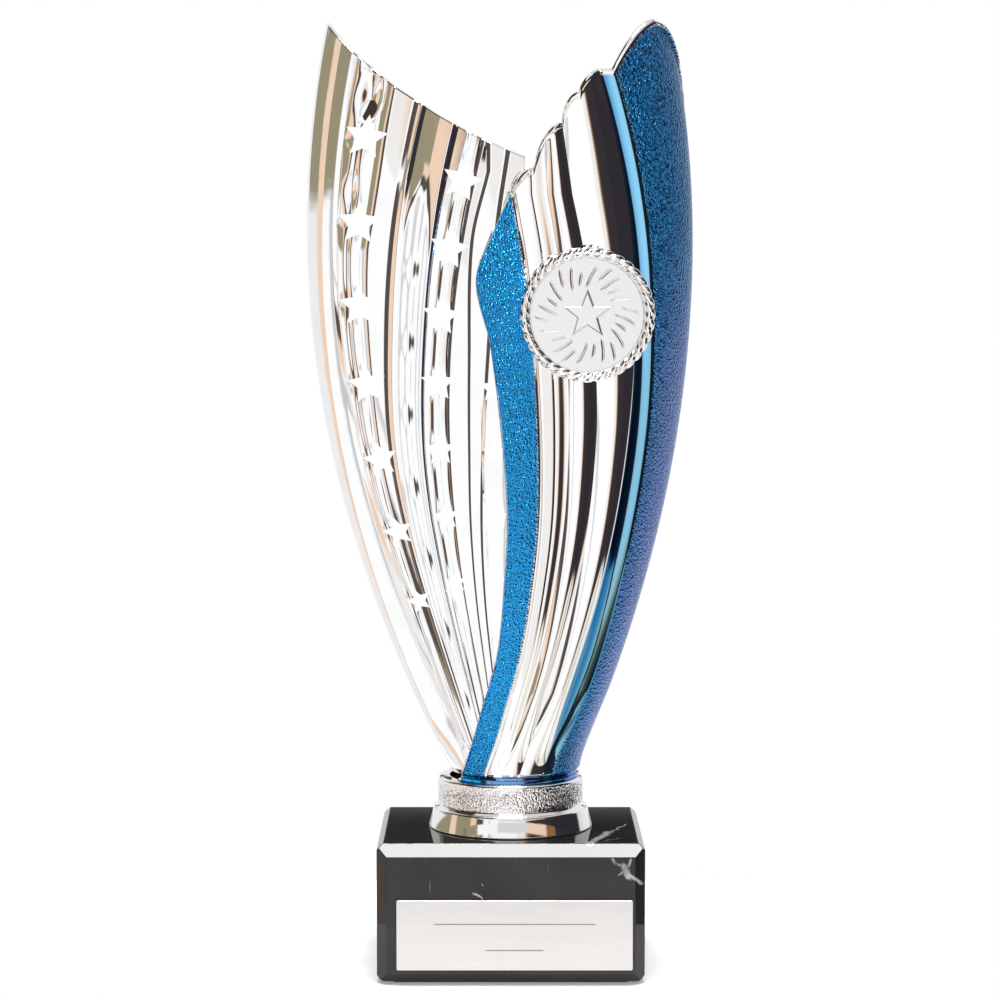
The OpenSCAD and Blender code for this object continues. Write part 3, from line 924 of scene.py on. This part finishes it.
def mark_lacquer(leaf):
    """Writes where the leaf is blue and pebbled, where painted shade turns it violet, where painted light
    brightens the left band and where the bead gets a painted highlight.
    """
    p = np.array([v.co for v in leaf.data.vertices]) / MM
    x, y, z = p[:, 0], p[:, 1], p[:, 2]
    t = np.degrees(np.arctan2(x / flute_a(z), -y / flute_b(z)))
    zones = flute_zones(z)

    def past(line):
        """Millimetres to the right of a line between zones."""
        return (t - line) * (flute_a(z) * math.pi / 180)

    left = 1 - step(-0.8, -0.35, past(zones[1]))
    reach = 2.0 * (1 - step(100, 135, z)) * step(70, 90, z)
    right = step(-0.9 - reach, 0.5 - reach, past(zones[BEAD_ZONE]))
    skin = step(-0.2, 0.5, past(zones[BEAD_ZONE + 1]))
    foot = 1 - step(COLLAR_TOP + 1.2, COLLAR_TOP + 1.6, z)
    normals = np.array([v.normal for v in leaf.data.vertices])
    outward = normals[:, 0] * np.sin(np.radians(t)) - normals[:, 1] * np.cos(np.radians(t))
    front = step(-0.1, 0.25, outward)
    lip = lip_mask(t, z)
    set_attribute(leaf, "lacquer", clamp01(left + right + 0.85 * foot) * front * lip)
    set_attribute(leaf, "pebble", clamp01(left + skin) * (1 - foot) * front * lip)
    # painted shade: violet-blue over the right band beyond about 46 to 66 degrees, fading out between 122
    # and 164 mm high
    set_attribute(leaf, "painted_violet_shade", step(46, 66, t) * (1 - step(122, 164, z)))
    middle = lerp(zones[BEAD_ZONE], zones[BEAD_ZONE + 1], 0.62)
    # painted light: the left band is brighter, most of all near 68 mm high
    set_attribute(leaf, "painted_left_band_light", (0.6 + 0.15 * bell((z - 68) / 14)) * left)
    # painted highlight: a narrow light streak along the bead, 62 percent of the way across it
    set_attribute(leaf, "painted_bead_highlight", bell(past(middle) / 1.1))


def lip_mask(t, z):
    """0 on the bright lip along the top edge, 1 below it."""
    tops, angles = [], []
    for zone in range(len(ZONE_COLUMNS)):
        for s in np.linspace(0, 1, 12, endpoint=zone == len(ZONE_COLUMNS) - 1):
            height = flute_top(zone, float(s))
            lines = flute_zones(np.array([height]))
            angles.append(float(lerp(lines[zone][0], lines[zone + 1][0], s)))
            tops.append(height)
    edge = np.interp(t, angles, tops)
    return step(0.9, 1.5, edge - z)


# -------- medallion


def build_bezel():
    """Cup with an inner rim, and a rope of two twisted strands around its front."""
    back, front = BEZEL_HIGH[1], BEZEL_LOW[1]
    seat = DISC_HIGH[1] + 0.3
    rope_y = front + ROPE_D / 2
    depth = back - rope_y
    floor = back - seat
    profile = [(RECESS_R - 1, 0.3), (RECESS_R - 0.7, 0), (CUP_R - 0.3, 0), (CUP_R, 0.3)]
    profile += [(CUP_R, depth), (CUP_R - 0.1, depth + 0.75)]
    profile += arc_points(RECESS_R + 0.35, depth + 0.7, 0.32, 40, 180, 6)
    profile += [(RECESS_R, depth), (RECESS_R, floor), (RECESS_R - 1, floor)]
    cup = revolve("rope_bezel_cup", profile, 240)
    turn_to_medal(cup, back)
    rope = build_rope(rope_y)
    for obj in (cup, rope):
        place(obj, CHROME, "bright_plastic", "rope_bezel")


def build_rope(rope_y):
    """Two round strands twisted into one rim."""
    around, across, twists = 960, 28, 18
    strand, offset = 0.74 * ROPE_D / 2, 0.3 * ROPE_D / 2
    verts = np.zeros((around, across + 1, 3))
    psi = np.linspace(0, 2 * math.pi, across + 1)
    for k in range(around):
        phi = 2 * math.pi * k / around
        d = psi - twists * phi
        r = offset * np.abs(np.cos(d)) + np.sqrt(strand**2 - (offset * np.sin(d)) ** 2)
        r = np.minimum(r, ROPE_D / 2)
        radius = ROPE_R + r * np.cos(psi)
        x = MEDAL[0] + radius * math.cos(phi)
        z = MEDAL[2] + radius * math.sin(phi)
        verts[k] = np.stack([x, rope_y - r * np.sin(psi), z], axis=-1)
    faces = grid_faces(around, across + 1, close=True)
    return new_object("rope_rim", verts.reshape(-1, 3), faces, 60)


# Nearest and farthest ends of the disc's rays, in turn
RAYS = ((5.9, 10.6), (7.6, 11.3), (5.9, 10.6), (6.2, 9.2))
RAY_COUNT = 24


def star_distance(x, z, r, waist):
    """Distance from the outline of a five-pointed star with its point up; negative inside."""
    angle = np.arctan2(x, z)
    sector = math.pi / 5
    folded = np.abs((angle + sector) % (2 * sector) - sector)
    radius = np.hypot(x, z)
    px, pz = radius * np.sin(folded), radius * np.cos(folded)
    tip = np.array([0.0, r])
    notch = np.array([r * waist * math.sin(sector), r * waist * math.cos(sector)])
    edge = notch - tip
    normal = np.array([-edge[1], edge[0]]) / np.linalg.norm(edge)
    return (px - tip[0]) * normal[0] + (pz - tip[1]) * normal[1]


def disc_height(r, a):
    """Relief of the centre disc: a raised star and curved rays cut around it."""
    x, z = r * np.sin(a), r * np.cos(a)
    star = star_distance(x, z, 5.4, 0.42)
    total = 0.22 * (1 - step(-0.4, 0.1, star))
    swirl = math.radians(16) * (r - 6) / 6
    for k in range(RAY_COUNT):
        r0, r1 = RAYS[k % len(RAYS)]
        offset = ((a - swirl - 2 * math.pi * k / RAY_COUNT + math.pi) % (2 * math.pi) - math.pi) * r
        along = step(r0 - 0.5, r0 + 0.9, r) * (1 - step(r1 - 1.1, r1 + 0.2, r))
        total = total - 0.17 * along * bell(offset / 0.24)
    rim = step(11.75, 11.95, r) * (1 - step(12.1, 12.3, r))
    return total - 0.1 * rim


def build_disc():
    """Satin disc with its relief in the mesh."""
    back, front = DISC_HIGH[1], DISC_LOW[1]
    relief_top = 0.24
    around, rings = 900, 120
    r = np.linspace(0.02, DISC_R - 0.15, rings)[None, :]
    a = np.linspace(0, 2 * math.pi, around, endpoint=False)[:, None]
    face = front + relief_top - disc_height(r + 0 * a, a + 0 * r)
    edge_r = np.array([[DISC_R - 0.04, DISC_R, DISC_R, DISC_R - 0.1, 0.02]])
    edge_y = np.array([[front + relief_top + 0.04, front + relief_top + 0.15, back - 0.1, back, back]])
    rr = np.concatenate([r + 0 * a, edge_r + 0 * a], axis=1)
    yy = np.concatenate([face, edge_y + 0 * a], axis=1)
    verts = np.stack([MEDAL[0] + rr * np.sin(a), yy, MEDAL[2] + rr * np.cos(a)], axis=-1)
    m = rr.shape[1]
    faces = grid_faces(around, m, close=True)
    faces.append(tuple(k * m for k in range(around)))
    faces.append(tuple(k * m + m - 1 for k in reversed(range(around))))
    disc = new_object("centre_disc_relief", verts.reshape(-1, 3), faces, 50)
    place(disc, DISC, "disc_metal", "centre_disc")


# -------- collar


def build_collar():
    """Polished foot band, a small step and a hammered band whose pebbles are in the mesh."""
    base, top = COLLAR_LOW[2], COLLAR_HIGH[2]
    foot_r, band_r = 17.8, 15.8
    waist = base + 4.8
    bore, socket = 3.4, 13.3
    top_round = 0.7
    band_low, band_high = waist + 0.8, top - top_round
    band_rows = 34
    lean = math.tan(math.radians(14))
    outside = arc_points(foot_r - 0.3, base + 0.3, 0.3, -90, 14, 5)
    outside += [(foot_r - (h - 0.3) * lean, base + h) for h in (0.45, 3.8)]
    outside += arc_points(foot_r - 0.7 - 3.65 * lean, waist - 0.8, 0.7, 14, 75, 8)
    outside += [(band_r + 0.5, waist + 0.05), (band_r + 0.18, waist + 0.2), (band_r + 0.04, waist + 0.5)]
    first = len(outside)
    outside += [(band_r, lerp(band_low, band_high, i / band_rows)) for i in range(band_rows + 1)]
    last = len(outside)
    outside += arc_points(band_r - top_round, top - top_round, top_round, 8, 90, 8)
    inside = [(socket, top), (socket, SOCKET_FLOOR), (bore, SOCKET_FLOOR), (bore, base)]
    profile = np.array(outside + inside)
    shares = np.zeros(len(profile))
    rows = np.arange(first, last)
    shares[rows] = np.sin(np.linspace(0.12, math.pi - 0.12, len(rows))) ** 0.35
    cells = 1 / 0.45

    def hammered(angle):
        push = np.zeros(len(profile))
        for i in rows:
            spot = Vector((band_r * math.cos(angle), band_r * math.sin(angle), profile[i, 1])) * cells
            near = noise.voronoi(spot)[0]
            gap = max(0.25 - (near[1] - near[0]), 0.0)
            push[i] = shares[i] * (0.08 - 0.34 * gap - 0.25 * near[0])
        return push

    collar = revolve("foot_collar_turned", profile, 900, hammered, 50)
    place(collar, COLLAR_CHROME, "bright_plastic", "foot_collar")


# -------- base


def copy_of(node, name, bevel):
    """A copy of a CAD node with its sharp edges eased."""
    obj = add_object(name, frame["nodes"][node].data.copy())
    bm = bmesh.new()
    bm.from_mesh(obj.data)
    bmesh.ops.remove_doubles(bm, verts=bm.verts, dist=0.002 * MM)
    bmesh.ops.dissolve_limit(bm, angle_limit=math.radians(1), verts=bm.verts, edges=bm.edges)
    bm.to_mesh(obj.data)
    bm.free()
    modifier = obj.modifiers.new("ease", "BEVEL")
    modifier.width = bevel * MM
    modifier.segments = 3
    modifier.limit_method = "ANGLE"
    modifier.angle_limit = math.radians(20)
    apply_modifiers(obj)
    obj.data.shade_flat()
    return obj


def build_base():
    marble = copy_of("marble_base", "marble_block", 0.14)
    place(marble, MARBLE, "marble", "marble_base")


def rule_bar(name, width, z, front, back):
    """A thin bar with round ends, standing between two depths behind the plate's face."""
    middle = (PLATE_LOW[0] + PLATE_HIGH[0]) / 2
    half = 0.14
    turns = np.linspace(-math.pi / 2, math.pi / 2, 10)
    right = [(width / 2 + half * math.cos(a), half * math.sin(a)) for a in turns]
    outline = [(middle + x, z + h) for x, h in right] + [(middle - x, z - h) for x, h in right]
    return new_object(name, *prism(outline, PLATE_LOW[1] + front, PLATE_LOW[1] + back))


def build_plate():
    """Engraving plate with two plain engraved rules, where an owner's words would go."""
    plate = copy_of("engraving_plate", "engraving_plate_eased", 0.1)
    middle = (PLATE_LOW[2] + PLATE_HIGH[2]) / 2
    for name, width, z in (("rule_long", 34.0, middle + 2.4), ("rule_short", 12.0, middle - 3.2)):
        cut(plate, rule_bar(name + "_cutter", width, z, -1.0, 0.06))
        fill = rule_bar(name, width, z, 0.02, 0.1)
        place(fill, RULE, "plate_metal")
    plate.data.shade_flat()
    place(plate, PLATE, "plate_metal", "engraving_plate")


# -------- what stays as CAD


def dress_cad():
    """Better materials for the plain pieces that keep their CAD shape."""
    looks = {"felt_pad": FELT, "plate_tape": TAPE, "disc_tape": TAPE, "column_hub": HUB}
    for node in ("threaded_rod", "top_nut", "bottom_nut", "flat_washer", "lock_washer"):
        looks[node] = ZINC
    for node, material in looks.items():
        paint(frame["nodes"][node], material)


# -------- studio


def world():
    """Room seen in the mirrors: strips of white, grey, olive, peach and dark around the trophy."""
    room_world = bpy.data.worlds.new("studio")
    bpy.context.scene.world = room_world
    m = Nodes(room_world)
    m.tree.nodes.clear()
    split = m.add("ShaderNodeSeparateXYZ")
    m.link(m.add("ShaderNodeTexCoord").outputs["Generated"], split.inputs[0])
    azimuth = m.math("ARCTAN2", split.outputs[0], m.times(split.outputs[1], -1.0))
    around = m.math("MULTIPLY_ADD", azimuth, 0.5 / math.pi, 0.5)
    height = m.math("ARCSINE", split.outputs[2])

    def strips(stops):
        """Colours around the room; stops are (azimuth in degrees, colour), 0 towards the camera."""
        return m.ramp(around, [(0.5 + degrees / 360, colour) for degrees, colour in stops])

    def rise(low, high):
        """0 below one elevation and 1 above another, in degrees."""
        return m.rise(height, math.radians(low), math.radians(high), "SMOOTHSTEP")

    def between(low, low_end, high_start, high):
        """1 between two elevations, with a soft edge at each."""
        return m.times(rise(low, low_end), m.math("SUBTRACT", 1.0, rise(high_start, high)))

    def patch(middle, half, low, high):
        """1 in a patch of the room: azimuth from its middle, elevation between two limits."""
        aside = m.math("ABSOLUTE", m.math("ADD", azimuth, math.radians(-middle)))
        inside = m.math("LESS_THAN", aside, math.radians(half))
        return m.times(inside, between(low, low + 2, high - 2, high))

    white, grey, pale = (1.08, 1.08, 1.09), (0.78, 0.78, 0.79), (0.93, 0.93, 0.94)
    silver, stone, cream = (0.62, 0.63, 0.65), (0.34, 0.32, 0.29), (0.9, 0.86, 0.77)
    light, hazel = (0.93, 0.92, 0.9), (0.22, 0.14, 0.09)
    olive, moss, peach = (0.34, 0.3, 0.2), (0.24, 0.21, 0.14), (0.95, 0.7, 0.53)
    brown, taupe = (0.3, 0.15, 0.06), (0.1, 0.08, 0.072)
    dark, black, gloom = (0.038, 0.032, 0.036), (0.03, 0.027, 0.033), (0.06, 0.042, 0.032)

    left = [(-97.5, peach), (-86.5, peach), (-85, white), (-72, white), (-71, silver), (-66, silver)]
    centre = [(-60, peach), (-53, peach), (-50, taupe), (-42, taupe), (-40, white), (-33, white)]
    centre += [(-32, silver), (-31, silver), (-30, white), (8, white)]
    right = [(10, light), (19, light), (21, peach), (25, hazel), (30, dark), (56, dark), (64, black)]
    right += [(114, black), (118, grey), (135, pale), (179, pale)]
    under = strips(
        [(-180, pale), (-128, pale), (-127, silver), (-123, silver), (-122, pale), (-99, pale)]
        + left
        + [(-65, white), (-56, white), (-54, olive), (-50, olive), (-48, taupe), (-42, taupe), (-40, white)]
        + [(7, white), (11, cream), (40, cream), (42, stone), (46, stone), (49, cream), (76, cream)]
        + [(78, stone), (83, stone), (86, cream), (110, pale), (179, pale)]
    )
    middle = strips([(-180, pale), (-99, pale)] + left + [(-63, white)] + centre + right)
    corner = [(-98.5, olive), (-97, peach), (-87, peach), (-85.5, olive)]
    high = strips([(-180, pale), (-134, pale), (-131, olive)] + corner + [(-62, olive)] + centre + right)
    foot = strips(
        [(-180, pale), (-128, pale), (-126, grey), (-118, grey), (-116, moss), (-108, olive)]
        + corner
        + [(-74, olive), (-70, moss), (-66, olive), (-50, olive)]
        + [(-48, white), (-20, white), (-18, grey), (25, grey), (27, peach), (52, peach), (55, brown)]
        + [(66, brown), (69, dark), (108, dark), (112, grey), (121, pale), (179, pale)]
    )
    room = m.mix(rise(-19.2, -18.2), under, m.mix(rise(1.5, 3.5), middle, high))
    room = m.mix(between(12.8, 13.2, 19, 20.5), room, foot)
    room = m.mix(rise(38, 55), room, (0.75, 0.75, 0.76))
    for low, top in ((21, 60), (-80, -38)):
        room = m.mix(patch(-75, 48, low, top), room, gloom)
    behind = m.math("GREATER_THAN", m.math("ABSOLUTE", azimuth), math.radians(150))
    screen = m.times(behind, between(10.1, 10.25, 12.5, 13.5))
    room = m.mix(screen, room, (0.012, 0.012, 0.013))

    mirrored = m.add("ShaderNodeBackground")
    m.link(room, mirrored.inputs["Color"])
    plain = m.add("ShaderNodeBackground", Color=(1.0, 1.0, 1.0, 1.0))
    choose = m.add("ShaderNodeMixShader")
    m.link(m.add("ShaderNodeLightPath").outputs["Is Camera Ray"], choose.inputs[0])
    m.link(mirrored.outputs[0], choose.inputs[1])
    m.link(plain.outputs[0], choose.inputs[2])
    m.link(choose.outputs[0], m.add("ShaderNodeOutputWorld").inputs["Surface"])


def top_light():
    """One wide soft light overhead, aimed at the trophy's middle."""
    light = bpy.data.lights.new("top_box", "AREA")
    light.shape = "RECTANGLE"
    light.size, light.size_y = 0.34, 0.3
    light.energy = 7.0
    obj = add_object("top_box", light)
    obj.location = (0.0, -0.12, 0.95)
    obj.rotation_euler = (Vector((0, 0, 0.1)) - obj.location).to_track_quat("-Z", "Y").to_euler()


def floor_slab():
    """A thin white slab that reaches well past the block on every side."""
    side, front, back, thick = 85.0, -80.0, 85.0, 0.8
    outline = [(-side, -thick), (side, -thick), (side, 0.0), (-side, 0.0)]
    slab = new_object("floor", *prism(outline, front, back))
    m = new_material("pale_floor")
    colour = m.ramp(m.noise(8, 2.0), [(0.3, (0.9, 0.9, 0.9)), (0.7, (0.93, 0.93, 0.93))])
    m.set(Base_Color=colour, Roughness=0.8, Specular_IOR_Level=0.1)
    m.set(Emission_Color=(1.0, 0.985, 0.95), Emission_Strength=0.22)
    paint(slab, m.owner)


def camera():
    """Long lens a little above the middle of the trophy, tipped down slightly."""
    cam = bpy.data.cameras.new("camera")
    cam.lens = 106.6
    cam.sensor_width = 36.0
    cam.clip_start = 0.05
    obj = add_object("camera", cam)
    obj.location = (-0.0023, -0.642, 0.151)
    obj.rotation_euler = (math.radians(90 - 4.42), 0, 0)
    bpy.context.scene.camera = obj
    bpy.context.scene.view_settings.view_transform = "Standard"


world()
top_light()
floor_slab()
camera()
build_star_leaf()
build_fluted_leaf()
build_bezel()
build_disc()
build_collar()
build_base()
build_plate()
dress_cad()

bpy.context.view_layer.update()
